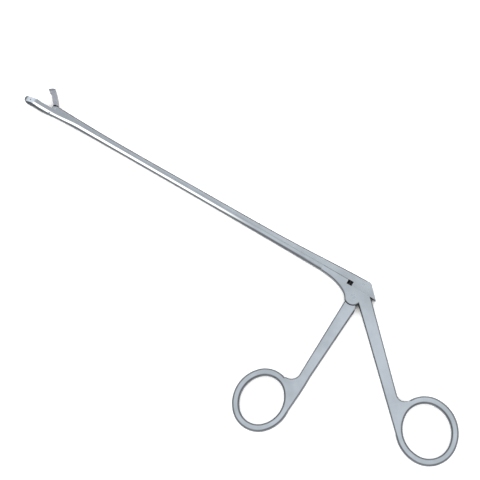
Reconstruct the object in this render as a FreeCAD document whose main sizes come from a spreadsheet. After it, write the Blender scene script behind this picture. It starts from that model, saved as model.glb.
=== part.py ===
import FreeCAD, Part
import math
import os
import re
import Sketcher

# Biopsy forceps with a long two-bar shaft, lying on its flat side.
# X runs along the shaft towards the handles, Y towards the back of the sliding bar, Z through the thickness.
# The origin is where the main pivot's axis meets the flat side that the forceps rests on.
# Millimetres. Distances along the shaft towards the tip are given as positive numbers ahead of the pivot.

SIZES = {
    # body, slot and fits
    "body_thickness": 5.6,
    "tongue_slot": 2.0,
    "side_play": 0.05,
    "pin_play": 0.04,
    "track_extra": 0.03,
    "slide_play": 0.03,
    "plate_round": 1.0,
    "parting_height": 6.9,
    "shelf_depth": 2.5,
    "shelf_step": 6.6,
    "shelf_rear": 8.4,
    "seam_place": 22.0,
    "seam_drop": 3.1,
    "cheek_radius": 4.8,
    "cheek_play": 0.1,
    "throat_place": 14.6,
    "throat_height": 2.9,
    "root_place": 8.0,
    "root_height": 0.75,
    "front_edge": 3.45,
    "curl_reach": 1.6,
    "curl_drop": 1.15,
    "cheek_front_turn": 224.0,
    "cheek_low_turn": 280.0,
    "cheek_rear_turn": 336.0,
    "slot_shoulder_front": 2.7,
    "slot_shoulder_rear": 2.6,
    "slot_swell_rear": 0.9,
    "slot_root_drop": 2.0,
    "disc_gap_front": 0.35,
    "disc_gap_rear": 0.15,
    "tool_extra": 2.0,
    # motion
    "travel": 3.0,
    "stop_gap": 0.06,
    "drive_height": 8.3,
    "link_height": 3.55,
    # rear handle
    "handle_slope": 45.0,
    "rear_ring_place": 69.05,
    "rear_ring_drop": 41.7,
    "rear_ring_long": 16.5,
    "rear_ring_short": 14.5,
    "rear_ring_tilt": 42.3,
    "rear_fillet_start": 37.7,
    "rear_fillet_reach": 5.6,
    "rear_fillet_sag": 1.1,
    "rear_fillet_dip": 0.5,
    "rear_fillet_share": 0.55,
    "rear_low_turn": 266.0,
    "rear_middle_turn": 248.0,
    "rear_high_turn": 184.0,
    # front handle
    "front_ring_place": 13.8,
    "front_ring_drop": 71.7,
    "front_ring_long": 15.3,
    "front_ring_short": 13.25,
    "front_ring_tilt": 91.0,
    "front_root_left": 2.7,
    "front_root_right": 3.3,
    "front_bulge": 4.5,
    "front_bulge_drop": 6.5,
    "front_neck_left": 3.45,
    "front_neck_right": 2.1,
    "front_neck_drop": 48.7,
    "front_fillet_reach": 5.5,
    "front_fillet_drop": 6.1,
    "front_fillet_lean": 1.5,
    "front_fillet_knee": 4.7,
    "front_edge_lean": 0.35,
    "front_edge_low": 13.0,
    "front_edge_high": 5.0,
    "front_bulge_lean": 0.6,
    "front_bulge_rise": 2.0,
    "front_far_turn": 168.0,
    "front_near_turn": 90.0,
    # finger rings
    "ring_band": 3.9,
    "ring_round": 1.45,
    "root_sink": 0.42,
    # tongue
    "disc_radius": 4.0,
    "arm_width": 4.0,
    "arm_end_radius": 1.95,
    "slot_half_width": 3.3,
    "slot_root_width": 4.6,
    "roof_gap": 0.3,
    "roof_share": 0.72,
    "room_front": 3.7,
    "room_rear": 3.4,
    "room_eave": 1.0,
    "room_shoulder": 2.1,
    # pins
    "pivot_radius": 1.5,
    "drive_radius": 0.8,
    "hinge_radius": 0.5,
    "link_radius": 0.4,
    "cross_radius": 0.3,
    "pin_seat": 0.4,
    # bars
    "bar_width": 4.2,
    "widening_start": 52.0,
    "fork_lead": 0.2,
    "fork_depth": 2.6,
    "nose_rise": 1.1,
    "bar_slope_length": 3.6,
    "rise_at_front": 2.35,
    "back_waist_place": 151.5,
    "rise_at_waist": 1.56,
    "back_middle_place": 99.6,
    "rise_at_middle": 1.92,
    "back_swell_place": 50.5,
    "rise_at_swell": 2.39,
    "back_neck_place": 26.5,
    "rise_at_neck": 3.15,
    "rise_at_pivot": 4.25,
    "rise_at_corner": 3.7,
    "tail_round": 2.0,
    "tail_knee_reach": 0.75,
    "tail_knee_dip": 0.08,
    "neck_swell": 0.75,
    "fall_at_front": 4.0,
    "belly_waist_place": 153.5,
    "fall_at_waist": 2.88,
    "belly_swell_place": 60.6,
    "fall_at_swell": 2.81,
    "back_round": 0.8,
    "belly_sweep": 11.0,
    "belly_rise": 0.65,
    "belly_lead": 12.0,
    "belly_dip": 0.12,
    # jaws
    "hinge_place": 193.6,
    "hinge_depth": 2.9,
    "tang_slot": 1.5,
    "tang_half": 2.0,
    "tang_front_reach": 4.2,
    "tang_rear_reach": 3.2,
    "tang_way_rise": 3.4,
    "tang_way_drop": 3.0,
    "tang_front_shoulder": 0.4,
    "tang_rear_shoulder": 0.8,
    "lug_radius": 1.15,
    "lug_side": 0.95,
    "lug_low": 0.3,
    "lug_corner": 0.7,
    "lug_lean": 0.35,
    "tang_sink": 0.5,
    "tang_rise": 0.8,
    "nose_reach": 16.4,
    "rim_front_fall": 0.9,
    "rim_rear_reach": 9.2,
    "rim_rear_rise": 0.15,
    "neck_reach": 3.3,
    "basket_width": 5.4,
    "basket_bottom_reach": 8.3,
    "basket_fall": 4.37,
    "basket_bevel": 1.2,
    "bevel_lead": 0.2,
    "nose_wall": 1.1,
    "nose_lip": 0.9,
    "nose_fall": 1.5,
    "nose_set": 0.5,
    "nose_chin": 0.9,
    "nose_sweep": 2.2,
    "nose_step": 0.6,
    "nose_point": 0.1,
    "nose_front": 0.95,
    "nose_shoulder": 1.55,
    "nose_cheek": 2.15,
    "nose_taper": 4.6,
    "neck_sweep": 2.4,
    "neck_dip": 0.1,
    "rim_sweep": 1.5,
    "rim_dip": 0.18,
    "plan_joint": 3.1,
    "waist_sweep": 1.3,
    "waist_run": 3.0,
    "waist_flare": 0.28,
    "lug_swell_reach": 4.0,
    "lug_swell": 0.05,
    "rear_wall": 1.15,
    "side_wall": 1.0,
    "window_nose_width": 1.2,
    "window_run": 1.9,
    "window_share": 0.44,
    "window_taper": 1.0,
    "taper_share": 0.72,
    "window_tip": 0.35,
    "cross_pin_reach": 12.7,
    "cross_pin_depth": 1.9,
    "punch_play": 0.18,
    "punch_sink": 0.15,
    "jaw_length": 13.5,
    "jaw_tip_rise": 3.0,
    "jaw_root_reach": 3.5,
    "jaw_back_rise": 2.6,
    "root_gap": 0.12,
    "nose_gap": 0.1,
    "jaw_shoulder": 1.15,
    "jaw_knee": 0.2,
    "jaw_swell_reach": 4.0,
    "jaw_tip_round": 0.9,
    "jaw_tip_fall": 1.7,
    "jaw_tip_lead": 0.3,
    "jaw_tip_extra": 0.4,
    "jaw_parallel": 1.0,
    "heel_gap": 0.22,
    "heel_reach": 0.5,
    "heel_rise": 0.16,
    "cup_rear_wall": 0.6,
    "cup_tip_wall": 1.1,
    "cup_round": 2.0,
    "cup_depth": 1.2,
    "cup_share": 0.4,
    "eye_hole_radius": 0.5,
    "eye_hole_reach": 11.7,
    # guides that hold the bars together
    "front_guide_place": 152.0,
    "rear_guide_place": 58.0,
    "guide_length": 5.0,
    "guide_neck": 1.1,
    "guide_head": 2.1,
    "guide_drop": 0.7,
    "guide_head_height": 0.7,
}

# Heights and places that follow from the sizes above.
DERIVED = {
    "shelf_height": "parting_height - shelf_depth",
    "seam_depth": "parting_height - seam_drop",
    "back_corner_height": "parting_height + rise_at_corner",
    "back_at_pivot": "parting_height + rise_at_pivot",
    "back_at_neck": "parting_height + rise_at_neck",
    "back_at_swell": "parting_height + rise_at_swell",
    "back_at_middle": "parting_height + rise_at_middle",
    "back_at_waist": "parting_height + rise_at_waist",
    "back_at_front": "parting_height + rise_at_front",
    "bar_nose_height": "parting_height + nose_rise",
    "bar_front": "hinge_place + fork_lead",
    "belly_at_front": "parting_height - fall_at_front",
    "belly_at_waist": "parting_height - fall_at_waist",
    "belly_at_swell": "parting_height - fall_at_swell",
    "basket_bottom": "parting_height - basket_fall",
    "basket_bottom_place": "hinge_place + basket_bottom_reach",
    "hinge_height": "parting_height - hinge_depth",
    "nose_place": "hinge_place + nose_reach",
    "neck_place": "hinge_place + neck_reach",
    "rim_front_height": "parting_height - rim_front_fall",
    "rim_rear_place": "hinge_place + rim_rear_reach",
    "rim_rear_height": "parting_height + rim_rear_rise",
    "window_front": "nose_place - nose_wall",
    "window_rear": "rim_rear_place + rear_wall",
    "window_width": "basket_width - 2 * side_wall",
    "cross_pin_place": "hinge_place + cross_pin_reach",
    "cross_pin_height": "parting_height - cross_pin_depth",
    "jaw_reach": "hinge_place + jaw_length",
    "jaw_tip_height": "parting_height + jaw_tip_rise",
    "jaw_back_height": "parting_height + jaw_back_rise",
    "jaw_root_place": "hinge_place + jaw_root_reach",
    "eye_hole_place": "hinge_place + eye_hole_reach",
}

doc = FreeCAD.newDocument("biopsy_forceps")
sheet = doc.addObject("Spreadsheet::Sheet", "Sizes")
CELLS = {alias: str(number) for alias, number in SIZES.items()}
CELLS.update({alias: "=" + formula for alias, formula in DERIVED.items()})
for row, (alias, content) in enumerate(CELLS.items(), start=1):
    sheet.set(f"A{row}", alias)
    sheet.set(f"B{row}", content)
    sheet.setAlias(f"B{row}", alias)
doc.recompute()


def bound(text):
    """The expression with each size's name pointing at its cell."""
    return re.sub(r"[a-z_]+", lambda word: f"Sizes.{word[0]}" if word[0] in CELLS else word[0], str(text))


def value(text):
    return float(sheet.evalExpression(bound(text)))


def bind(item, prop, text):
    item.setExpression(prop, bound(text))


def origin_plane(body, role):
    return [feature for feature in body.Origin.OriginFeatures if feature.Role == role][0]


def new_body(label):
    body = doc.addObject("PartDesign::Body", label)
    body.Label = label
    return body


def new_sketch(body, name, role="XY_Plane", lift="0"):
    sketch = body.newObject("Sketcher::SketchObject", name)
    sketch.AttachmentSupport = [(origin_plane(body, role), "")]
    sketch.MapMode = "FlatFace"
    bind(sketch, "AttachmentOffset.Base.z", lift)
    return sketch


def point_of(corner):
    return FreeCAD.Vector(value(corner[0]), value(corner[1]), 0)


def pin_point(sketch, element, end, corner):
    """Ties one end of a sketch element to its sizes."""
    for kind, text in zip(("DistanceX", "DistanceY"), corner):
        number = sketch.addConstraint(Sketcher.Constraint(kind, -1, 1, element, end, value(text)))
        sketch.setExpression(f"Constraints[{number}]", bound(text))


def draw(sketch, sides):
    """Draws a closed outline. Each side is its first corner, then the points that it passes on its way.

    No point makes a straight side, one point an arc, and more of them a smooth curve.
    """
    for place, side in enumerate(sides):
        corner, passed = side[0], side[1:]
        following = sides[(place + 1) % len(sides)][0]
        first, last = point_of(corner), point_of(following)
        if not passed:
            element = sketch.addGeometry(Part.LineSegment(first, last))
            pin_point(sketch, element, 1, corner)
            continue
        if len(passed) == 1:
            sketch.addGeometry(Part.Arc(first, point_of(passed[0]), last))
            continue
        curve = Part.BSplineCurve()
        curve.interpolate([first] + [point_of(each) for each in passed] + [last])
        sketch.addGeometry(curve)
    return sketch


def pad(body, sketch, length):
    feature = body.newObject("PartDesign::Pad", sketch.Name + "_pad")
    feature.Profile = sketch
    bind(feature, "Length", length)
    doc.recompute()
    return feature


def pocket_through(body, sketch):
    """Cuts the outline right through, both ways from its plane, and makes sure that something was cut."""
    before = body.Shape.Volume
    feature = body.newObject("PartDesign::Pocket", sketch.Name + "_cut")
    feature.Profile = sketch
    feature.Type = "ThroughAll"
    feature.Midplane = True
    doc.recompute()
    if body.Shape.Volume >= before:
        raise ValueError(sketch.Name + " cut nothing")
    return feature


def round_edges(body, radius, wanted):
    """Rounds each edge that passes the test, which sees the edge and its middle point."""
    base = body.Tip
    names = []
    for number, edge in enumerate(base.Shape.Edges, start=1):
        middle = edge.valueAt((edge.FirstParameter + edge.LastParameter) / 2)
        if wanted(edge, middle):
            names.append(f"Edge{number}")
    feature = body.newObject("PartDesign::Fillet", body.Name + "_round")
    feature.Base = (base, names)
    bind(feature, "Radius", radius)
    doc.recompute()
    return feature


def join(label, kind, items):
    item = doc.addObject(kind, label)
    item.Label = label
    if kind == "Part::Cut":
        item.Base, item.Tool = items
    else:
        item.Shapes = items
    doc.recompute()
    return item


def face_edge(edge):
    """Whether the edge lies in one of the two outer faces."""
    return any(all(abs(vertex.Point.z - height) < CLOSE for vertex in edge.Vertexes) for height in (0, THICK))


CLOSE = 1e-6
SHORT_EDGE = 1.0
LONG_EDGE = 6.0
THICK = value("body_thickness")
MIDDLE = "body_thickness / 2"
HALF_SWING = "atan(travel / 2 / drive_height)"
HALF_OPENING = "atan(travel / 2 / link_height)"
TONGUE = "(tongue_slot - 2 * side_play)"
TANG = "(tang_slot - 2 * side_play)"


def placed_on_ring(ring, along, across):
    """A point given along and across a finger ring's long axis, in the forceps' frame."""
    tilt = f"(-{ring}_ring_tilt)"
    side = "" if ring == "rear" else "-"
    return (
        f"{side}{ring}_ring_place + ({along}) * cos({tilt}) - ({across}) * sin({tilt})",
        f"-{ring}_ring_drop + ({along}) * sin({tilt}) + ({across}) * cos({tilt})",
    )


def ring_point(ring, turn, outward="0"):
    """A point on a finger ring's middle line, at an angle from its long axis, moved outward by a distance."""
    along = f"({ring}_ring_long + {outward}) * cos({turn})"
    across = f"({ring}_ring_short + {outward}) * sin({turn})"
    return placed_on_ring(ring, along, across)


def oval_sides(ring, outward):
    """An oval of four arcs that meet smoothly where they face halfway between the long and the short axis."""
    centre = f"(({ring}_ring_long - {ring}_ring_short) / (sqrt(2) - 1) / sqrt(2))"
    corner_along = f"({centre} + ({ring}_ring_long - {centre} + {outward}) / sqrt(2))"
    corner_across = f"(({ring}_ring_long - {centre} + {outward}) / sqrt(2))"
    long_end = f"({ring}_ring_long + {outward})"
    short_end = f"({ring}_ring_short + {outward})"
    return [
        [placed_on_ring(ring, corner_along, "-" + corner_across), placed_on_ring(ring, long_end, "0")],
        [placed_on_ring(ring, corner_along, corner_across), placed_on_ring(ring, "0", short_end)],
        [placed_on_ring(ring, "-" + corner_along, corner_across), placed_on_ring(ring, "-" + long_end, "0")],
        [placed_on_ring(ring, "-" + corner_along, "-" + corner_across),
         placed_on_ring(ring, "0", "-" + short_end)],
    ]


def finger_ring(ring):
    """An oval band of even width with rounded edges."""
    body = new_body(ring + "_ring_form")
    sketch = new_sketch(body, ring + "_ring_outline")
    draw(sketch, oval_sides(ring, "ring_band / 2"))
    draw(sketch, oval_sides(ring, "-ring_band / 2"))
    pad(body, sketch, "body_thickness")
    round_edges(body, "ring_round", lambda edge, middle: face_edge(edge))
    return body


def rounded_plate(name, sides, thickness="body_thickness", lift="0"):
    body = new_body(name)
    pad(body, draw(new_sketch(body, name + "_outline", lift=lift), sides), thickness)
    return body


def on_circle(radius, turn):
    return f"{radius} * cos({turn})", f"{radius} * sin({turn})"


# Rear handle: the slotted body plate and the straight bar down to its ring.
body_back = "(shelf_rear + rear_fillet_start)"
fillet_top = "(shelf_height - rear_fillet_start)"
plate_sides = [
    [("-seam_place", "seam_depth"), ("-throat_place", "throat_height"), ("-root_place", "root_height"),
     ("-front_edge - curl_reach", "-curl_drop")],
    [on_circle("cheek_radius", "cheek_front_turn"), on_circle("cheek_radius", "cheek_low_turn")],
    [on_circle("cheek_radius", "cheek_rear_turn")],
    [ring_point("rear", "rear_low_turn", "ring_band * root_sink")],
    [ring_point("rear", "rear_low_turn + 4"), ring_point("rear", "rear_middle_turn"),
     ring_point("rear", "rear_high_turn + 21")],
    [ring_point("rear", "rear_high_turn")],
    [(f"{body_back} + rear_fillet_reach", f"{fillet_top} - rear_fillet_dip"),
     (f"{body_back} + rear_fillet_reach * rear_fillet_share",
      f"{fillet_top} - rear_fillet_sag - rear_fillet_dip / 2")],
    [(body_back, fillet_top)],
    [("shelf_rear", "shelf_height")],
    [("-shelf_step", "shelf_height")],
    [("-shelf_step", "parting_height")],
    [("-seam_place", "parting_height")],
]
rear_plate = rounded_plate("rear_plate_form", plate_sides)


def plate_rim(edge, middle):
    """The long outer edges of the plate's two faces, without the shelf, the parting face and the seam."""
    on_shelf = middle.y > value("shelf_height") - SHORT_EDGE and edge.Curve.TypeId == "Part::GeomLine"
    in_ring = middle.x > value("rear_ring_place - rear_ring_long - ring_round")
    return face_edge(edge) and not on_shelf and not in_ring and edge.Length > SHORT_EDGE


round_edges(rear_plate, "plate_round", plate_rim)
rear_forging = join("rear_forging", "Part::MultiFuse", [rear_plate, finger_ring("rear")])

slot_sides = [
    [("-slot_half_width", "parting_height + tool_extra")],
    [("-slot_half_width", "slot_shoulder_front")],
    [("-disc_radius - disc_gap_front", "0")],
    [("-slot_root_width", "-slot_root_drop")],
    [("-slot_root_width", "-cheek_radius - tool_extra")],
    [("slot_root_width", "-cheek_radius - tool_extra")],
    [("slot_root_width", "0")],
    [("disc_radius + disc_gap_rear", "slot_swell_rear")],
    [("slot_half_width", "slot_shoulder_rear")],
    [("slot_half_width", "parting_height + tool_extra")],
]
tongue_way = rounded_plate("tongue_way", slot_sides, "tongue_slot", "(body_thickness - tongue_slot) / 2")


def bar(label, radius, place, height, length, lift="0"):
    """A round bar across the forceps: a pin, or the tool that bores its hole."""
    item = doc.addObject("Part::Cylinder", label)
    item.Label = label
    bind(item, "Radius", radius)
    bind(item, "Height", length)
    bind(item, "Placement.Base.x", place)
    bind(item, "Placement.Base.y", height)
    bind(item, "Placement.Base.z", lift)
    return item


pivot_bore = bar("pivot_bore", "pivot_radius", "0", "0", "body_thickness")
body_tools = join("body_tools", "Part::MultiFuse", [tongue_way, pivot_bore])
rear_handle = join("rear_handle", "Part::Cut", [rear_forging, body_tools])

# Front handle: the full-thickness bar with its ring, and the thin tongue that works inside the slot.
arc_radius = "(cheek_radius + cheek_play)"
front_sides = [
    [("-front_root_left", f"-sqrt({arc_radius}^2 - front_root_left^2)")],
    [("-front_neck_left", "-front_neck_drop"),
     ("-front_neck_left - front_fillet_lean", "-front_neck_drop - front_fillet_knee")],
    [("-front_neck_left - front_fillet_reach", "-front_neck_drop - front_fillet_drop")],
    [ring_point("front", "front_far_turn"), ring_point("front", "front_far_turn - 18"),
     ring_point("front", "front_near_turn + 30")],
    [ring_point("front", "front_near_turn")],
    [ring_point("front", "front_near_turn", "ring_band * root_sink"),
     ("front_neck_right - front_edge_lean", "-front_neck_drop - front_edge_low"),
     ("front_neck_right", "-front_neck_drop - front_edge_high")],
    [("front_neck_right", "-front_neck_drop")],
    [("front_bulge", "-front_bulge_drop")],
    [("front_bulge - front_bulge_lean", "-front_bulge_drop + front_bulge_rise")],
    [("front_root_right", f"-sqrt({arc_radius}^2 - front_root_right^2)"), ("0", f"-{arc_radius}")],
]
front_plate = rounded_plate("front_plate_form", front_sides)


def handle_rim(edge, middle):
    """The long outer edges of the bar's two faces, without its arc at the pivot and its end in the ring."""
    in_ring = middle.y < value("-front_neck_drop - front_fillet_drop") - SHORT_EDGE
    at_arc = middle.y > value("-front_bulge_drop + front_bulge_lean")
    return face_edge(edge) and not in_ring and not at_arc


round_edges(front_plate, "plate_round", handle_rim)
tongue_lift = f"(body_thickness - {TONGUE}) / 2"
drive_reach = f"drive_height / cos({HALF_SWING})"


def radial(distance, across, turn):
    """A point at a distance along a direction that leans by an angle from +Y towards +X."""
    return (
        f"{distance} * sin({turn}) + {across} * cos({turn})",
        f"{distance} * cos({turn}) - {across} * sin({turn})",
    )


tongue_disc = bar("tongue_disc", "disc_radius", "0", "0", TONGUE, tongue_lift)
tongue_arm = rounded_plate("tongue_arm", [
    [radial("0", "-arm_width / 2", HALF_SWING)],
    [radial(drive_reach, "-arm_width / 2", HALF_SWING),
     radial(f"({drive_reach} + arm_end_radius)", "0", HALF_SWING)],
    [radial(drive_reach, "arm_width / 2", HALF_SWING)],
    [radial("0", "arm_width / 2", HALF_SWING)],
], TONGUE, tongue_lift)
tongue_root = rounded_plate("tongue_root", [
    [("-front_root_left", "-cheek_radius - tool_extra")],
    [("front_root_left", "-cheek_radius - tool_extra")],
    [("front_root_left", "0")],
    [("-front_root_left", "0")],
], TONGUE, tongue_lift)
front_forging = join("front_forging", "Part::MultiFuse",
                     [front_plate, finger_ring("front"), tongue_disc, tongue_arm, tongue_root])


def pin_track(name, radius, shortest, longest, turn, thickness, lift):
    """A short slot along a lever's own line, in which a pin moves a little while the lever swings."""
    half = f"({radius} + pin_play)"
    low = f"({shortest} - track_extra)"
    high = f"({longest} + track_extra)"
    return rounded_plate(name, [
        [radial(low, f"-{half}", turn)],
        [radial(high, f"-{half}", turn), radial(f"({high} + {half})", "0", turn)],
        [radial(high, half, turn)],
        [radial(low, half, turn), radial(f"({low} - {half})", "0", turn)],
    ], thickness, lift)


drive_track = pin_track("drive_track", "drive_radius", "drive_height", drive_reach, HALF_SWING,
                        "body_thickness", "0")
tongue_bore = bar("tongue_bore", "pivot_radius + pin_play", "0", "0", "body_thickness")
front_tools = join("front_tools", "Part::MultiFuse", [drive_track, tongue_bore])
front_handle = join("front_handle", "Part::Cut", [front_forging, front_tools])


def narrow(body, name, line):
    """Planes both sides of a bar down to its width.

    The line is drawn like an outline, with places along the shaft and half widths.
    """
    for side, sign in (("near", "+"), ("far", "-")):
        sketch = new_sketch(body, f"{name}_{side}", "XZ_Plane")
        sides = [[(place, f"{MIDDLE} {sign} ({half})") for place, half in points] for points in line]
        outer = f"{MIDDLE} {sign} body_thickness"
        sides += [[(line[-1][0][0], outer)], [(line[0][0][0], outer)]]
        draw(sketch, sides)
        pocket_through(body, sketch)


# Both bars keep one width and widen smoothly to the body's thickness before the seam.
widening_middle = "-(widening_start + seam_place) / 2"
bar_plan = [
    [("-widening_start", "bar_width / 2"),
     (widening_middle, "bar_width / 2 + (body_thickness - bar_width) / 8")],
    [("-seam_place", "body_thickness / 2")],
]

# Sliding shaft: the upper bar, its fork at the front and its tail block over the shelf.
slide_bottom = "(parting_height + slide_play)"
shelf_top = "(shelf_height + slide_play)"
tail_tip = "(shelf_rear + travel)"
tail_front = "(shelf_step - travel - stop_gap)"
tail_corner = f"({tail_tip} - (back_corner_height - {shelf_top}) / tan(handle_slope))"
slide_sides = [
    [("-bar_front", slide_bottom)],
    [(f"-{tail_front}", slide_bottom)],
    [(f"-{tail_front}", shelf_top)],
    [(tail_tip, shelf_top)],
    [(tail_corner, "back_corner_height"),
     (f"{tail_corner} - tail_knee_reach", "back_at_pivot - tail_knee_dip")],
    [(f"{tail_corner} - tail_round", "back_at_pivot"), ("-back_neck_place / 3", "back_at_neck + neck_swell"),
     ("-back_neck_place", "back_at_neck"), ("-back_swell_place", "back_at_swell"),
     ("-back_middle_place", "back_at_middle"), ("-back_waist_place", "back_at_waist")],
    [("-bar_front + bar_slope_length", "back_at_front")],
    [("-bar_front", "bar_nose_height")],
]
slide_bar = rounded_plate("slide_bar_form", slide_sides)
narrow(slide_bar, "slide_plan", [[("-bar_front - tool_extra", "bar_width / 2")]] + bar_plan)


def back_edge(edge, middle):
    """The long edges along the sliding bar's back, up to the tail block."""
    along_back = middle.y > value("back_at_waist - back_round / 2") and middle.x < value("shelf_step")
    at_side = abs(middle.z - THICK / 2) > value("bar_width / 2 - back_round / 4")
    return along_back and at_side and edge.Length > LONG_EDGE


round_edges(slide_bar, "back_round", back_edge)
roof_radius = "(arm_end_radius + roof_gap)"
room_top = f"drive_height + {roof_radius} * roof_share"
tongue_room = rounded_plate("tongue_room", [
    [("travel / 2 - room_front", "0")],
    [("travel / 2 + room_rear", "0")],
    [("travel / 2 + room_rear", "drive_height - room_eave"), ("travel / 2 + room_shoulder", room_top)],
    [("travel / 2", f"drive_height + {roof_radius}"), ("travel / 2 - room_shoulder", room_top)],
    [("travel / 2 - room_front", "drive_height - room_eave")],
], "tongue_slot", "(body_thickness - tongue_slot) / 2")
link_place = "(-hinge_place + travel / 2)"
fork_room = rounded_plate("fork_room", [
    [("-bar_front - tool_extra", "parting_height - tool_extra")],
    [(f"{link_place} + fork_depth", "parting_height - tool_extra")],
    [(f"{link_place} + fork_depth", "back_at_front + tool_extra")],
    [("-bar_front - tool_extra", "back_at_front + tool_extra")],
], "tang_slot", "(body_thickness - tang_slot) / 2")
drive_bore = bar("drive_bore", "drive_radius", "travel / 2", "drive_height", "body_thickness")
link_bore = bar("link_bore", "link_radius", link_place, "hinge_height + link_height", "body_thickness")
slide_tools = join("slide_tools", "Part::MultiFuse", [tongue_room, fork_room, drive_bore, link_bore])


def block(name, place, length, low, height, width):
    """A box across the forceps' middle plane, from a place along the shaft and up from a height."""
    item = doc.addObject("Part::Box", name)
    item.Label = name
    bind(item, "Length", length)
    bind(item, "Width", height)
    bind(item, "Height", width)
    bind(item, "Placement.Base.x", place)
    bind(item, "Placement.Base.y", low)
    bind(item, "Placement.Base.z", f"({MIDDLE}) - ({width}) / 2")
    return item


def guide(where, growth, extra_length):
    """A T-shaped rail under the sliding bar, or with play and length added the way it runs in."""
    start = f"(-{where}_guide_place - {extra_length} - {growth})"
    length = f"(guide_length + {extra_length} + 2 * {growth})"
    tag = where + ("_rail" if growth == "0" else "_way")
    neck_low = f"(parting_height - guide_drop - {growth})"
    head_low = f"(parting_height - guide_drop - guide_head_height - {growth})"
    neck_height = f"(guide_drop + {growth} + slide_play * 2)"
    head_height = f"(guide_head_height + 2 * {growth})"
    return [
        block(tag + "_neck", start, length, neck_low, neck_height, f"(guide_neck + 2 * {growth})"),
        block(tag + "_head", start, length, head_low, head_height, f"(guide_head + 2 * {growth})"),
    ]


rails = guide("front", "0", "0") + guide("rear", "0", "0")
slide_cut = join("slide_cut", "Part::Cut", [slide_bar, slide_tools])
sliding_shaft = join("sliding_shaft", "Part::MultiFuse", [slide_cut] + rails)

# Lower shaft: the fixed bar with the open basket at its tip.
basket_bottom_rear = "(-basket_bottom_place)"
lower_sides = [
    [("-seam_place", "parting_height")],
    [("-neck_place", "parting_height"), ("-neck_place - neck_sweep", "parting_height - neck_dip"),
     ("-rim_rear_place + rim_sweep", "rim_rear_height - rim_dip")],
    [("-rim_rear_place", "rim_rear_height")],
    [("-nose_place + nose_lip", "rim_front_height"), ("-nose_place", "rim_front_height - nose_fall"),
     ("-nose_place + nose_set", "basket_bottom + nose_chin")],
    [("-nose_place + nose_sweep", "basket_bottom")],
    [(basket_bottom_rear, "basket_bottom"), ("-hinge_place - lug_swell_reach", "basket_bottom - lug_swell"),
     ("-hinge_place", "belly_at_front"), ("-hinge_place + belly_sweep", "belly_at_front + belly_rise"),
     ("-belly_waist_place - belly_lead", "belly_at_waist - belly_dip"),
     ("-belly_waist_place", "belly_at_waist"),
     ("-belly_swell_place", "belly_at_swell")],
    [("-seam_place", "seam_depth")],
]
lower_bar = rounded_plate("lower_bar_form", lower_sides)


def belly_edge(edge, middle):
    """The two long edges along the lower bar's belly."""
    return edge.Length > value("belly_swell_place") and middle.y < value("parting_height - fall_at_waist / 2")


narrow(lower_bar, "lower_plan", [[("-hinge_place - plan_joint", "bar_width / 2")]] + bar_plan)
round_edges(lower_bar, "plate_round", belly_edge)
narrow(lower_bar, "basket_plan", [
    [("-nose_place - tool_extra", "basket_width / 2")],
    [("-rim_rear_place", "basket_width / 2"),
     ("-rim_rear_place + waist_sweep", "bar_width / 2 + waist_flare"),
     ("-rim_rear_place + waist_run", "bar_width / 2 + waist_flare / 4")],
    [("-hinge_place - plan_joint", "bar_width / 2")],
])
narrow(lower_bar, "nose_plan", [
    [("-nose_place - nose_step", "nose_point"), ("-nose_place", "nose_front"),
     ("-nose_place + nose_step", "nose_shoulder"), ("-nose_place + 3 * nose_step", "nose_cheek")],
    [("-nose_place + nose_taper", "basket_width / 2")],
])

window_sketch_sides = [
    [("-window_rear", f"{MIDDLE} - window_width / 2")],
    [("-window_rear", f"{MIDDLE} + window_width / 2"),
     ("-window_rear - window_run", f"{MIDDLE} + window_width * window_share"),
     ("-window_front + window_taper", f"{MIDDLE} + window_nose_width * taper_share")],
    [("-window_front + window_tip", f"{MIDDLE} + window_nose_width / 2"), ("-window_front", MIDDLE)],
    [("-window_front + window_tip", f"{MIDDLE} - window_nose_width / 2"),
     ("-window_front + window_taper", f"{MIDDLE} - window_nose_width * taper_share"),
     ("-window_rear - window_run", f"{MIDDLE} - window_width * window_share")],
]
pocket_through(lower_bar, draw(new_sketch(lower_bar, "window_outline", "XZ_Plane"), window_sketch_sides))
tang_way = rounded_plate("tang_way", [
    [("-hinge_place - tang_front_reach", "hinge_height + tang_way_rise")],
    [("-hinge_place - tang_half", "hinge_height - tang_front_shoulder")],
    [("-hinge_place - tang_half", "hinge_height - tang_way_drop")],
    [("-hinge_place + tang_half", "hinge_height - tang_way_drop")],
    [("-hinge_place + tang_half", "hinge_height + tang_rear_shoulder")],
    [("-hinge_place + tang_rear_reach", "hinge_height + tang_way_rise")],
], "tang_slot", "(body_thickness - tang_slot) / 2")
hinge_bore = bar("hinge_bore", "hinge_radius", "-hinge_place", "hinge_height", "body_thickness")
cross_bore = bar("cross_bore", "cross_radius", "-cross_pin_place", "cross_pin_height", "body_thickness")


def corner_bevel(name, side, turn):
    """A box on its edge that bevels one of the basket's two lower corners."""
    item = doc.addObject("Part::Box", name)
    item.Label = name
    bind(item, "Length", "nose_place - hinge_place")
    bind(item, "Width", "2 * basket_width")
    bind(item, "Height", "basket_width")
    item.Placement.Rotation = FreeCAD.Rotation(FreeCAD.Vector(1, 0, 0), turn)
    bind(item, "Placement.Base.x", "-nose_place - neck_reach + bevel_lead")
    if side == "low":
        bind(item, "Placement.Base.y", "basket_bottom + basket_bevel / 2 - basket_width * 2 / sqrt(2)")
        bind(item, "Placement.Base.z", "(body_thickness - basket_width) / 2 + basket_bevel / 2")
    else:
        bind(item, "Placement.Base.y", "basket_bottom + basket_bevel / 2 - basket_width / sqrt(2)")
        bind(item, "Placement.Base.z",
             "(body_thickness + basket_width) / 2 - basket_bevel / 2 - basket_width / sqrt(2)")
    return item


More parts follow.
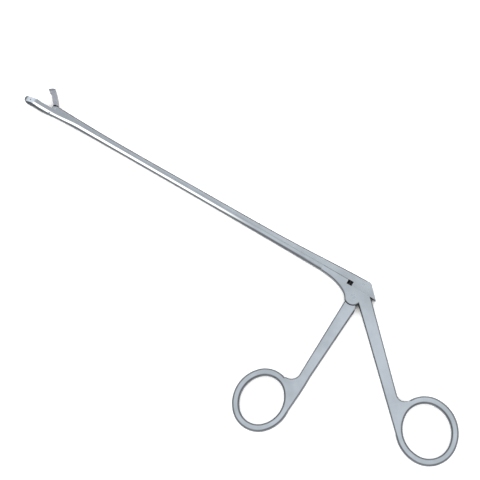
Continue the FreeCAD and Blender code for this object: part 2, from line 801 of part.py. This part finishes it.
bevels = [corner_bevel("low_bevel", "low", -45), corner_bevel("high_bevel", "high", 45)]
ways = guide("front", "side_play", "travel") + guide("rear", "side_play", "travel")
lower_tools = join("lower_tools", "Part::MultiFuse", [tang_way, hinge_bore, cross_bore] + bevels + ways)
lower_shaft = join("lower_shaft", "Part::Cut", [lower_bar, lower_tools])

# Upper jaw, drawn closed and about its own hinge, then swung open by its placement.
rim_slope = "((rim_rear_height - rim_front_height) / (nose_place - nose_lip - rim_rear_place))"


def jaw(place, height):
    """A point of the closed jaw, given by its place along the shaft and its height, seen from the hinge."""
    return f"-({place}) + hinge_place", f"({height}) - hinge_height"


punch_rear = "(window_rear + punch_play)"
edge_at_rear = f"(rim_rear_height - {rim_slope} * ({punch_rear} - rim_rear_place) - punch_sink)"
edge_at_tip = f"(rim_rear_height - {rim_slope} * (jaw_reach - rim_rear_place) - punch_sink)"
jaw_sides = [
    [jaw("jaw_root_place", "parting_height + root_gap")],
    [jaw("jaw_root_place", "bar_nose_height + nose_gap")],
    [jaw("jaw_root_place - jaw_shoulder", "jaw_back_height")],
    [jaw("jaw_root_place - jaw_knee", "jaw_back_height + root_gap"),
     jaw("jaw_root_place + jaw_swell_reach", "jaw_tip_height + jaw_knee")],
    [jaw("jaw_reach - jaw_tip_round", "jaw_tip_height"),
     jaw("jaw_reach - jaw_knee", "jaw_tip_height - jaw_tip_fall")],
    [jaw("jaw_reach", edge_at_tip)],
    [jaw(punch_rear, edge_at_rear)],
    [jaw(punch_rear, "rim_rear_height + heel_gap")],
    [jaw("rim_rear_place - heel_reach", "rim_rear_height + heel_rise")],
]
jaw_block = rounded_plate("jaw_block_form", jaw_sides)
narrow(jaw_block, "jaw_plan", [
    [(jaw("jaw_root_place - tool_extra", "0")[0], "bar_width / 2")],
    [(jaw("jaw_root_place + jaw_parallel", "0")[0], "bar_width / 2")],
    [(jaw(punch_rear, "0")[0], "window_width / 2 - punch_play"),
     (jaw("window_rear + window_run", "0")[0], "window_width * window_share - punch_play"),
     (jaw("jaw_reach - jaw_tip_lead", "0")[0], "window_nose_width * taper_share - punch_play")],
    [(jaw("jaw_reach + jaw_tip_extra", "0")[0], "window_nose_width / 2 - punch_play")],
])
tang_turn = f"(-{HALF_OPENING})"
link_reach = f"link_height / cos({HALF_OPENING})"
tang = rounded_plate("tang_form", [
    [("lug_radius * lug_side", "-lug_radius * lug_low"), ("0", "-lug_radius")],
    [("-lug_radius * lug_side", "-lug_radius * lug_low")],
    [jaw("jaw_root_place + tang_sink", "parting_height + root_gap")],
    [jaw("jaw_root_place + tang_sink", "bar_nose_height + tang_rise")],
    [radial(f"({link_reach} + lug_radius)", "-lug_lean", tang_turn),
     radial(f"({link_reach} + lug_radius * lug_corner)", "lug_radius * lug_corner", tang_turn)],
    [radial(link_reach, "lug_radius", tang_turn)],
], TANG, f"(body_thickness - {TANG}) / 2")
jaw_forging = join("jaw_forging", "Part::MultiFuse", [jaw_block, tang])
link_track = pin_track("link_track", "link_radius", "link_height", link_reach, tang_turn,
                       "body_thickness", "0")
jaw_bore = bar("jaw_bore", "hinge_radius + pin_play", "0", "0", "body_thickness")
eye_hole = bar("eye_hole", "eye_hole_radius", *jaw("eye_hole_place", "0"), "jaw_tip_height", MIDDLE)
along_y = FreeCAD.Rotation(FreeCAD.Vector(1, 0, 0), -90)
eye_hole.Placement = FreeCAD.Placement(eye_hole.Placement.Base, along_y)
cup_sides = [
    [jaw("window_rear + cup_rear_wall", "0")],
    [jaw("jaw_reach - cup_tip_wall", "0")],
    [jaw("jaw_reach - cup_tip_wall", f"{edge_at_tip} + cup_tip_wall"),
     jaw("jaw_reach - cup_round", f"{edge_at_rear} + cup_depth")],
    [jaw("window_rear + cup_rear_wall", f"{edge_at_rear} + cup_rear_wall")],
]
cup_width = "(window_width * cup_share)"
cup = rounded_plate("cup_form", cup_sides, cup_width, f"(body_thickness - {cup_width}) / 2")
jaw_tools = join("jaw_tools", "Part::MultiFuse", [link_track, jaw_bore, eye_hole, cup])
upper_jaw = join("upper_jaw", "Part::Cut", [jaw_forging, jaw_tools])
upper_jaw.Placement.Rotation = FreeCAD.Rotation(FreeCAD.Vector(0, 0, 1), -2 * value(HALF_OPENING))
bind(upper_jaw, "Placement.Base.x", "-hinge_place")
bind(upper_jaw, "Placement.Base.y", "hinge_height")

# Pins, ground flush with the sides that hold them.
bar_side = "(body_thickness - bar_width) / 2"
pins = [
    bar("handle_pivot_pin", "pivot_radius", "0", "0", "body_thickness"),
    bar("shaft_drive_pin", "drive_radius", "travel / 2", "drive_height", "body_thickness"),
    bar("jaw_hinge_pin", "hinge_radius", "-hinge_place", "hinge_height", "bar_width", bar_side),
    bar("jaw_link_pin", "link_radius", link_place, "hinge_height + link_height", "bar_width", bar_side),
    bar("basket_cross_pin", "cross_radius", "-cross_pin_place", "cross_pin_height",
        "window_width + 2 * pin_seat", "(body_thickness - window_width) / 2 - pin_seat"),
]
doc.recompute()

PIECES = [rear_handle, lower_shaft, sliding_shaft, front_handle, upper_jaw] + pins

for item in doc.Objects:
    if "Invalid" in item.State or "Error" in item.State:
        raise ValueError(f"{item.Label} failed: {item.State}")
for piece in PIECES:
    shape = piece.Shape
    if shape.isNull() or not shape.isValid() or len(shape.Solids) != 1:
        raise ValueError(f"{piece.Label} is not one valid solid: {len(shape.Solids)}")

os.makedirs("parts", exist_ok=True)
for piece in PIECES:
    piece.Shape.exportStep(f"parts/{piece.Label}.step")
    box = piece.Shape.BoundBox
    print(f"{piece.Label}: {piece.Shape.Volume:.2f} mm3, x {box.XMin:.2f} to {box.XMax:.2f}, "
          f"y {box.YMin:.2f} to {box.YMax:.2f}, z {box.ZMin:.2f} to {box.ZMax:.2f}")
print(f"handle swing {2 * value(HALF_SWING):.3f} deg, jaw opening {2 * value(HALF_OPENING):.3f} deg")
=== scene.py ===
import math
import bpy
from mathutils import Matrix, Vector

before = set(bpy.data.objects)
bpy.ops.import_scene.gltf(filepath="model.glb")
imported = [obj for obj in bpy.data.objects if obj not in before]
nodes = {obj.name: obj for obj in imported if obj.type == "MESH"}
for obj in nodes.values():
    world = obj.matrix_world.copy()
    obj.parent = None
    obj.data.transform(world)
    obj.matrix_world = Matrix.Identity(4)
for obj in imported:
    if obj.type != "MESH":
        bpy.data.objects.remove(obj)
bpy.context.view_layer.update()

# %% [markdown]
# The imported CAD model of a biopsy forceps is the fixed frame of this scene.
# Its ten steel pieces keep their shapes.
# This lesson gives them their surfaces, a floor, light and a camera.

MM = 0.001
print("pieces:", sorted(nodes))

# %% [markdown]
# A material is a small graph of nodes, and a graph is easier to read when each node is made in one call.
# The first helper fills a node's sockets: a number is set, and another node's output is joined.
# Writing it once keeps each material below down to the lines that say how its surface looks.

# %% Nodes in one call
def fill(owner, node, sockets):
    """Fills sockets by name, or by number where the name starts with an underscore."""
    for name, given in sockets.items():
        socket = node.inputs[int(name[1:])] if name[0] == "_" else node.inputs[name.replace("_", " ")]
        if isinstance(given, bpy.types.NodeSocket):
            owner.node_tree.links.new(given, socket)
        else:
            socket.default_value = given


def add_node(owner, kind, settings=None, **sockets):
    """Makes one node of a material or of the world."""
    node = owner.node_tree.nodes.new(kind)
    for name, setting in (settings or {}).items():
        setattr(node, name, setting)
    fill(owner, node, sockets)
    return node


def new_material(name):
    """A new material and its shader."""
    material = bpy.data.materials.new(name)
    material.use_nodes = True
    return material, material.node_tree.nodes["Principled BSDF"]


# %% [markdown]
# A finish changes from place to place, so it is built from masks.
# A mask is 1 where a tone belongs and 0 elsewhere.
# A mask that rises or falls smoothly over a span looks like wear, and a hard step would look like paint.
# Masks are multiplied where both must hold, and each mask blends its own colour over the ones beneath it.

# %% Masks and blends
def ramp(owner, factor, low, high, low_value, high_value):
    """Spreads a factor between two limits over a range of values."""
    return add_node(owner, "ShaderNodeMapRange", {"interpolation_type": "SMOOTHSTEP"},
                    Value=factor, From_Min=low, From_Max=high, To_Min=low_value, To_Max=high_value).outputs[0]


def rise(owner, factor, span, unit=1.0):
    """A mask that rises from 0 to 1 over a span."""
    return ramp(owner, factor, span[0] * unit, span[1] * unit, 0.0, 1.0)


def fall(owner, factor, span, unit=1.0):
    """A mask that falls from 1 to 0 over a span."""
    return ramp(owner, factor, span[0] * unit, span[1] * unit, 1.0, 0.0)


def both(owner, first, second):
    """The mask of where two masks hold."""
    return add_node(owner, "ShaderNodeMath", {"operation": "MULTIPLY"}, _0=first, _1=second).outputs[0]


def axis_of(owner, vector, axis):
    """One axis of a place or a direction."""
    return add_node(owner, "ShaderNodeSeparateXYZ", Vector=vector).outputs[axis]


def blend(owner, mask, under, over):
    """One colour under another, which shows where the mask is 1."""
    return add_node(owner, "ShaderNodeMix", {"data_type": "RGBA"}, _0=mask, _6=under, _7=over).outputs[2]


def opaque(colour, tone=1.0):
    """A colour times a tone, with the fourth number that Blender asks for."""
    return [min(1.0, tone * part) for part in colour] + [1.0]


# %% [markdown]
# Hand-finished steel isn't a flat grey.
# A belt leaves fine scratches along each bar, and blasting and handling leave cloudy patches.
# Noise that is stretched along the bar stands for the scratches, because a belt cuts in one direction only.

# %% Scratches and clouds
def scratches(material, place, turn, grain_along, grain_across):
    """Noise stretched along a bar, after the bar's own direction is turned level."""
    along, across = 1 / (grain_along * MM), 1 / (grain_across * MM)
    turned = add_node(material, "ShaderNodeMapping", Vector=place, Rotation=(0, 0, -turn)).outputs[0]
    stretched = add_node(material, "ShaderNodeMapping", Vector=turned,
                         Scale=(along, across, across)).outputs[0]
    return add_node(material, "ShaderNodeTexNoise", Vector=stretched, Scale=1.0, Detail=6.0,
                    Roughness=0.65).outputs[0]


def speckle(material, place, size, detail, roughness=0.5):
    """Noise without a direction, in patches of one size in millimetres."""
    return add_node(material, "ShaderNodeTexNoise", Vector=place, Scale=1 / (size * MM), Detail=detail,
                    Roughness=roughness).outputs[0]


# %% [markdown]
# Edges are rubbed bright in use and carry a painted highlight, and corners between two pieces get painted
# shade.
# A bevelled normal compared with the true one finds the edges, and missing light finds the corners.
# The belt works on the flats, and the rounded shoulders and upright sides are painted darker as painted
# shade.
# Those are found by how far a surface leans from level, so they follow the real shape wherever it turns.

# %% Edges with a painted highlight; painted shade on shoulders, sides and corners
EDGE_AGREEMENT = (0.80, 0.985)
CLOUDS_ON_EDGES = (0.35, 0.65)
LEAST_RUBBED = 0.35
# The shoulder, side and corner spans and tones below set painted shade.
SHOULDER_SHADE_STARTS = (0.15, 0.45)
FLAT_STARTS = (0.86, 0.99)
SIDE_SHADE_ENDS = (0.10, 0.35)
CORNER_SHADE_REACH = 2.5
CORNER_SHADE_OPENS = (0.10, 0.60)
CORNER_SHADE_TONE = 0.04


def rubbed_and_highlit_edges(material, normal, clouds, edge_width):
    """The mask of the rubbed edges with their painted highlight, stronger and weaker with the clouds."""
    bevelled = add_node(material, "ShaderNodeBevel", {"samples": 6}, Radius=edge_width * MM).outputs[0]
    agreement = add_node(material, "ShaderNodeVectorMath", {"operation": "DOT_PRODUCT"},
                         _0=bevelled, _1=normal).outputs["Value"]
    return both(material, fall(material, agreement, EDGE_AGREEMENT),
                ramp(material, clouds, *CLOUDS_ON_EDGES, LEAST_RUBBED, 1.0))


def painted_shades(material, normal, shoulder_shade_tone, side_shade_tone):
    """Painted shade on shoulders, sides and corners, each with its mask and its tone."""
    lean = add_node(material, "ShaderNodeMath", {"operation": "ABSOLUTE"},
                    _0=axis_of(material, normal, "Z")).outputs[0]
    shoulder_shade = both(material, rise(material, lean, SHOULDER_SHADE_STARTS), fall(material, lean, FLAT_STARTS))
    opening = add_node(material, "ShaderNodeAmbientOcclusion", {"samples": 8},
                       Distance=CORNER_SHADE_REACH * MM).outputs["AO"]
    return [(shoulder_shade, shoulder_shade_tone), (fall(material, lean, SIDE_SHADE_ENDS), side_shade_tone),
            (fall(material, opening, CORNER_SHADE_OPENS), CORNER_SHADE_TONE)]


# %% [markdown]
# One steel finish serves all ten pieces, because they are the same metal and differ only in degree.
# It lays colours from the bottom up: clouds, the piece's stripes, painted shade on shoulders, sides and
# corners, edges.
# The scratches go into the roughness and the bump, as real ones scatter light and leave the colour alone.

# %% The steel finish
CLOUD_TONES = (0.88, 1.12)
CLOUD_SPAN = (0.3, 0.7)
GRAIN_SPAN = (0.25, 0.75)
RUBBED_SMOOTHER = -0.12
FINE_SCRATCH = 0.12
FINE_SHARE = 0.35
SCRATCH_DEPTH = 0.05


def steel(name, colour, edge_wear_and_highlight_colour, roughness, turn=0.0, grain_across=0.25, grain_along=7.0, bump=0.1,
          edge_width=0.35, cloud_size=22.0, grain_share=0.10, side_shade_tone=0.08, shoulder_shade_tone=0.36,
          stripes=None):
    """A steel with its grain turned along a bar. Lengths are in millimetres, tones multiply the colour."""
    material, shader = new_material(name)
    place = add_node(material, "ShaderNodeTexCoord").outputs["Object"]
    normal = add_node(material, "ShaderNodeNewGeometry").outputs["Normal"]
    grain = scratches(material, place, turn, grain_along, grain_across)
    fine = speckle(material, place, FINE_SCRATCH, 3.0)
    clouds = speckle(material, place, cloud_size, 4.0, 0.6)
    rubbed_and_highlit = rubbed_and_highlit_edges(material, normal, clouds, edge_width)

    darker, lighter = (opaque(colour, tone) for tone in CLOUD_TONES)
    layers = blend(material, rise(material, clouds, CLOUD_SPAN), darker, lighter)
    masks = stripes(material, place) if stripes else []
    for mask, tone in masks + painted_shades(material, normal, shoulder_shade_tone, side_shade_tone):
        layers = blend(material, mask, layers, opaque(colour, tone))

    grainy = ramp(material, grain, *GRAIN_SPAN, roughness - grain_share, roughness + grain_share)
    smoother = add_node(material, "ShaderNodeMath", {"operation": "MULTIPLY_ADD", "use_clamp": True},
                        _0=rubbed_and_highlit, _1=RUBBED_SMOOTHER, _2=grainy).outputs[0]
    height = add_node(material, "ShaderNodeMath", {"operation": "MULTIPLY_ADD"}, _0=fine, _1=FINE_SHARE,
                      _2=grain).outputs[0]
    bumped = add_node(material, "ShaderNodeBump", Height=height, Strength=bump,
                      Distance=SCRATCH_DEPTH * MM).outputs[0]
    fill(material, shader, {"Metallic": 1.0, "Roughness": smoother, "Normal": bumped,
                            "Base Color": blend(material, rubbed_and_highlit, layers, opaque(edge_wear_and_highlight_colour))})
    print("finish:", name, "roughness", roughness, "grain turned by", round(math.degrees(turn)), "degrees")
    return material


def finish_node(name, material):
    """Puts a finish into the slot of one CAD piece."""
    nodes[name].data.materials.clear()
    nodes[name].data.materials.append(material)


# %% [markdown]
# The two handles are forgings with a satin finish: even and soft, with a faint grain down each bar.
# The rear bar leans away from the shaft at about 45 degrees and the front bar hangs nearly square to it.
# Each gets the same steel, with the grain turned along its own bar.
# Where the body's top meets the sliding bar, a thin line stays dull, as polish doesn't reach into a joint.

# %% The handles
SATIN = (0.325, 0.36, 0.395)
# The bright colour below is the edges' colour, partly wear and partly a painted highlight.
EDGE_WEAR_AND_HIGHLIGHT = (0.44, 0.475, 0.505)
SATIN_ROUGHNESS = 0.36
REAR_LEAN = math.radians(-43.5)
FRONT_LEAN = math.radians(-89)
PARTING = 6.9
JOINT_LINE = (PARTING - 0.4, PARTING - 0.2)
JOINT_TONE = 0.3


def body_joint(material, place):
    """The dull line along the body's top, with its tone."""
    return [(rise(material, axis_of(material, place, "Y"), JOINT_LINE, MM), JOINT_TONE)]


finish_node("rear_handle", steel("rear_handle_satin", SATIN, EDGE_WEAR_AND_HIGHLIGHT, SATIN_ROUGHNESS, turn=REAR_LEAN,
                                 stripes=body_joint))
finish_node("front_handle", steel("front_handle_satin", SATIN, EDGE_WEAR_AND_HIGHLIGHT, SATIN_ROUGHNESS, turn=FRONT_LEAN))

# %% [markdown]
# The shaft's two bars are ground along their length, so their grain is longer than the handles'.
# Both are a little paler near the hand and darker towards the tip.
# The sliding bar's rounded back is painted nearly black, as painted shade that draws the dark line along the
# shaft's top.

# %% The sliding bar
GROUND = (0.305, 0.335, 0.368)
GROUND_ROUGHNESS = 0.30
GROUND_GRAIN = {"grain_along": 14.0, "grain_across": 0.2, "edge_width": 0.25}
FAR_END = (-190, -60)
FAR_TONE = 0.78
# The back's tone below is painted shade.
BACK_SHADE_TONE = 0.08


def far_end(material, place):
    """The bars' far end, darker towards the tip, with its tone."""
    return [(fall(material, axis_of(material, place, "X"), FAR_END, MM), FAR_TONE)]


finish_node("sliding_shaft", steel("shaft_ground", GROUND, EDGE_WEAR_AND_HIGHLIGHT, GROUND_ROUGHNESS, shoulder_shade_tone=BACK_SHADE_TONE,
                                   stripes=far_end, **GROUND_GRAIN))

# %% [markdown]
# A painted highlight runs along the lower bar's belly, and painted shade darkens its very edge.
# From above this makes a white band with a thin dark line beneath it, and it fades towards the handles.
# The basket at the tip is paler, and the parting line stays dull.
# The bands are measured from the belly's own edge, so they follow it where the bar gets slimmer near the tip.

# %% The lower bar's bands
BELLY_AT_TIP, BELLY = 2.95, 4.05
BELLY_CHANGES = (-192, -176)
HIGHLIGHT_STARTS, HIGHLIGHT_ENDS = (0.55, 0.8), (1.75, 2.0)
HIGHLIGHT_FADES = (-95, -62)
EDGE_SHADE_ENDS = (0.45, 0.75)
LINE_ENDS = (0.9, 1.2)
LINE_COMES = (-100, -55)
LINE_GOES = (-40, -21)
LINE_REST = 0.25
PARTING_LINE = (PARTING - 0.5, PARTING - 0.15)
BASKET_ENDS = (-205, -203)
# The band's tone is a painted highlight, and the edge tone is painted shade.
PARTING_TONE, HIGHLIGHT_TONE, EDGE_SHADE_TONE, BASKET_TONE = 0.72, 3.2, 0.42, 1.5


def lower_bands(material, place):
    """Bands along the lower bar, with a painted highlight and painted shade lines, each with its mask and its
    tone.
    """
    along, height = axis_of(material, place, "X"), axis_of(material, place, "Y")
    belly = ramp(material, along, BELLY_CHANGES[0] * MM, BELLY_CHANGES[1] * MM, BELLY_AT_TIP * MM, BELLY * MM)
    above = add_node(material, "ShaderNodeMath", {"operation": "SUBTRACT"}, _0=height, _1=belly).outputs[0]
    highlight_band = both(material, rise(material, above, HIGHLIGHT_STARTS, MM), fall(material, above, HIGHLIGHT_ENDS, MM))
    highlight_band = both(material, highlight_band, fall(material, along, HIGHLIGHT_FADES, MM))
    goes = ramp(material, along, LINE_GOES[0] * MM, LINE_GOES[1] * MM, 1.0, LINE_REST)
    shade_line = both(material, rise(material, along, LINE_COMES, MM), goes)
    shade_line = both(material, shade_line, fall(material, above, LINE_ENDS, MM))
    return far_end(material, place) + [
        (rise(material, height, PARTING_LINE, MM), PARTING_TONE),
        (highlight_band, HIGHLIGHT_TONE),
        (fall(material, above, EDGE_SHADE_ENDS, MM), EDGE_SHADE_TONE),
        (shade_line, EDGE_SHADE_TONE),
        (fall(material, along, BASKET_ENDS, MM), BASKET_TONE),
    ]


finish_node("lower_shaft", steel("belly_painted_highlight", GROUND, EDGE_WEAR_AND_HIGHLIGHT, GROUND_ROUGHNESS, stripes=lower_bands,
                                 **GROUND_GRAIN))

# %% [markdown]
# The punch jaw is polished smoother than the bars, and in the photograph it is darker than they are.
# A lower roughness and a darker colour give that look, and its root is painted black as painted shadow next
# to the bar.
# The root is found by its distance from the hinge, so it stays on the jaw when the jaw swings.

# %% The punch jaw
JAW = (0.25, 0.26, 0.29)
HINGE = (-193.6 * MM, 4.0 * MM, 0.0)
ROOT_SHADOW_ENDS = (4.6, 4.85)
# The root's tone below is painted shadow.
ROOT_SHADOW_TONE = 0.02


def jaw_root_shadow(material, place):
    """The painted shadow at the jaw's root next to the bar, with its tone."""
    flat = add_node(material, "ShaderNodeVectorMath", {"operation": "MULTIPLY"}, _0=place,
                    _1=(1, 1, 0)).outputs[0]
    reach = add_node(material, "ShaderNodeVectorMath", {"operation": "DISTANCE"}, _0=flat,
                     _1=HINGE).outputs["Value"]
    return [(fall(material, reach, ROOT_SHADOW_ENDS, MM), ROOT_SHADOW_TONE)]


jaw_steel = steel("jaw_polished", JAW, EDGE_WEAR_AND_HIGHLIGHT, 0.2, grain_along=2.0, grain_across=0.15, bump=0.05,
                  edge_width=0.12, cloud_size=2.5, grain_share=0.06, shoulder_shade_tone=0.8, stripes=jaw_root_shadow)
finish_node("upper_jaw", jaw_steel)

# %% [markdown]
# The pins are ground flush with the sides that hold them.
# Only a faint ring and a darker tone give them away.
# Their ends were turned, so their grain is short and almost without direction.

# %% The pins
PIN = (0.30, 0.34, 0.375)
pins = sorted(name for name in nodes if name.endswith("_pin"))
pin_steel = steel("pin_ground", PIN, EDGE_WEAR_AND_HIGHLIGHT, 0.27, grain_along=0.8, grain_across=0.3, edge_width=0.08,
                  cloud_size=1.5)
for name in pins:
    finish_node(name, pin_steel)
print("pins:", pins)

# %% [markdown]
# The photograph shows the forceps on plain white, so a wide pale floor carries it.
# Its painted glow stands in for a light table that fills the shadows, and faint mottling breaks up its
# colour.
# Where little open sky reaches it, as in the body's small window, painted shadow darkens it and its glow
# falls off.

# %% The floor
FLOOR_LENGTH = 6.0
MOTTLE_SCALE = 60.0
PAPER_TONES = ((0.90, 0.905, 0.91), (0.93, 0.935, 0.94))
# The unlit colour below is painted shadow, and the glow is painted light.
UNLIT = (0.05, 0.05, 0.055)
SKY_REACH = 6
PALE_STARTS = (0.05, 0.3)
GLOW_STARTS = (0.12, 0.5)
PAINTED_GLOW = 0.35
bpy.ops.mesh.primitive_plane_add(size=FLOOR_LENGTH, location=(0, 0, 0))
floor = bpy.context.object
floor.name = "floor"
paper, paper_shader = new_material("pale_floor")
paper_place = add_node(paper, "ShaderNodeTexCoord").outputs["Object"]
mottle = add_node(paper, "ShaderNodeTexNoise", Vector=paper_place, Scale=MOTTLE_SCALE, Detail=3.0).outputs[0]
open_sky = add_node(paper, "ShaderNodeAmbientOcclusion", {"samples": 12},
                    Distance=SKY_REACH * MM).outputs["AO"]
mottled = blend(paper, mottle, *[opaque(tone) for tone in PAPER_TONES])
floor_with_painted_shadow = blend(paper, rise(paper, open_sky, PALE_STARTS), opaque(UNLIT), mottled)
painted_glow = ramp(paper, open_sky, *GLOW_STARTS, 0.0, PAINTED_GLOW)
fill(paper, paper_shader, {"Roughness": 0.9, "Base Color": floor_with_painted_shadow, "Emission Color": (1, 1, 1, 1),
                           "Emission Strength": painted_glow})
floor.data.materials.append(paper)
print("floor:", [round(length, 2) for length in floor.dimensions])

# %% [markdown]
# A camera is set from what the photograph shows of its own place.
# The thin dark sides of the steel all face the bottom of the picture, so the camera stood over that side.
# Lines through the thickness meet below the picture, and that meeting point gives the camera's tilt.
# The picture's scale at the pivot gives the distance, and the shaft's slope in the picture gives the roll.

# %% The camera
PICTURE = 480
PIVOT_PIXEL = (353.0, 296.5)
DEPTH_MEETING_PIXEL = (350.0, 580.0)
NEAR_FACE = 5.6 * MM
MM_PER_PIXEL = 0.53
DISTANCE = 1000 * MM
ROLL = math.radians(30.6)
SENSOR = 36
FARTHEST = 20


def ray(pixel, focal):
    """The direction from the camera through a pixel, with the camera's x right, y up and z backward."""
    return Vector((pixel[0] - PICTURE / 2, PICTURE / 2 - pixel[1], -focal))


focal = DISTANCE / (MM_PER_PIXEL * MM)
level = Matrix.Rotation(ROLL, 3, "Z")
down = Vector((0, 0, -1))
tilt = (level @ ray(DEPTH_MEETING_PIXEL, focal)).rotation_difference(down).to_matrix()
turn = tilt @ level
pivot = Vector((0, 0, NEAR_FACE))
to_pivot = ray(PIVOT_PIXEL, focal) * (DISTANCE / focal)
camera = bpy.data.objects.new("camera", bpy.data.cameras.new("camera"))
camera.data.sensor_width = SENSOR
camera.data.sensor_height = SENSOR
camera.data.sensor_fit = "HORIZONTAL"
camera.data.lens = SENSOR * focal / PICTURE
camera.data.clip_end = FARTHEST
camera.matrix_world = Matrix.Translation(pivot - turn @ to_pivot) @ turn.to_4x4()
bpy.context.collection.objects.link(camera)
bpy.context.scene.camera = camera
print("camera at", [round(part, 3) for part in camera.location], "lens", round(camera.data.lens, 1))

# %% [markdown]
# A product shot of steel needs large soft lights, because steel mirrors them as smooth bands.
# The flat faces mirror what hangs overhead, and the rounded edges mirror what stands around the table.
# So the forceps stands in a tent with a bright top and a bright wall behind it, which give even pale faces.
# The wall on the hand's side is darker, and so are the shoulders and rims that face it, as in the photograph.
# The tent is the world's colour, blended by the direction in which it is seen.

# %% The white tent
OVERHEAD = (1.45, 1.45, 1.45, 1)
BACK_WALL = (1.20, 1.20, 1.20, 1)
HAND_WALL = (0.50, 0.50, 0.51, 1)
BACK_WALL_STARTS = (-0.7, 0.1)
OVERHEAD_STARTS = (0.10, 0.75)
world = bpy.data.worlds.new("white_tent")
world.use_nodes = True
seen = add_node(world, "ShaderNodeTexCoord").outputs["Generated"]
walls = blend(world, rise(world, axis_of(world, seen, "Y"), BACK_WALL_STARTS), HAND_WALL, BACK_WALL)
tent = blend(world, rise(world, axis_of(world, seen, "Z"), OVERHEAD_STARTS), walls, OVERHEAD)
fill(world, world.node_tree.nodes["Background"], {"Color": tent, "Strength": 1.0})
bpy.context.scene.world = world
bpy.context.scene.view_settings.view_transform = "Standard"
print("tent: overhead", OVERHEAD[0], "back wall", BACK_WALL[0], "hand's side", HAND_WALL[0])

# %% [markdown]
# Two soft area lights give the picture its direction.
# Both are weak, as the tent does most of the lighting.
# One stands over the top of the picture, and the other one lights the undersides from the hand's side.
# Both are aimed at the middle of the forceps, so moving a lamp changes its direction and nothing else.

# %% The soft lights
MIDDLE_OF_OBJECT = Vector((-0.06, -0.03, 0))
WATTS = 2


def soft_light(name, place, size):
    """A rectangular lamp that is aimed at the middle of the forceps."""
    lamp = bpy.data.objects.new(name, bpy.data.lights.new(name, "AREA"))
    lamp.data.shape = "RECTANGLE"
    lamp.data.size, lamp.data.size_y = size
    lamp.data.energy = WATTS
    lamp.location = place
    lamp.rotation_euler = (MIDDLE_OF_OBJECT - Vector(place)).to_track_quat("-Z", "Y").to_euler()
    bpy.context.collection.objects.link(lamp)
    print("light:", name, WATTS, "watts")


soft_light("top_of_picture", place=(-0.5, 0.9, 0.8), size=(0.9, 0.5))
soft_light("hand_side", place=(0.35, -1.1, 0.6), size=(0.9, 0.4))
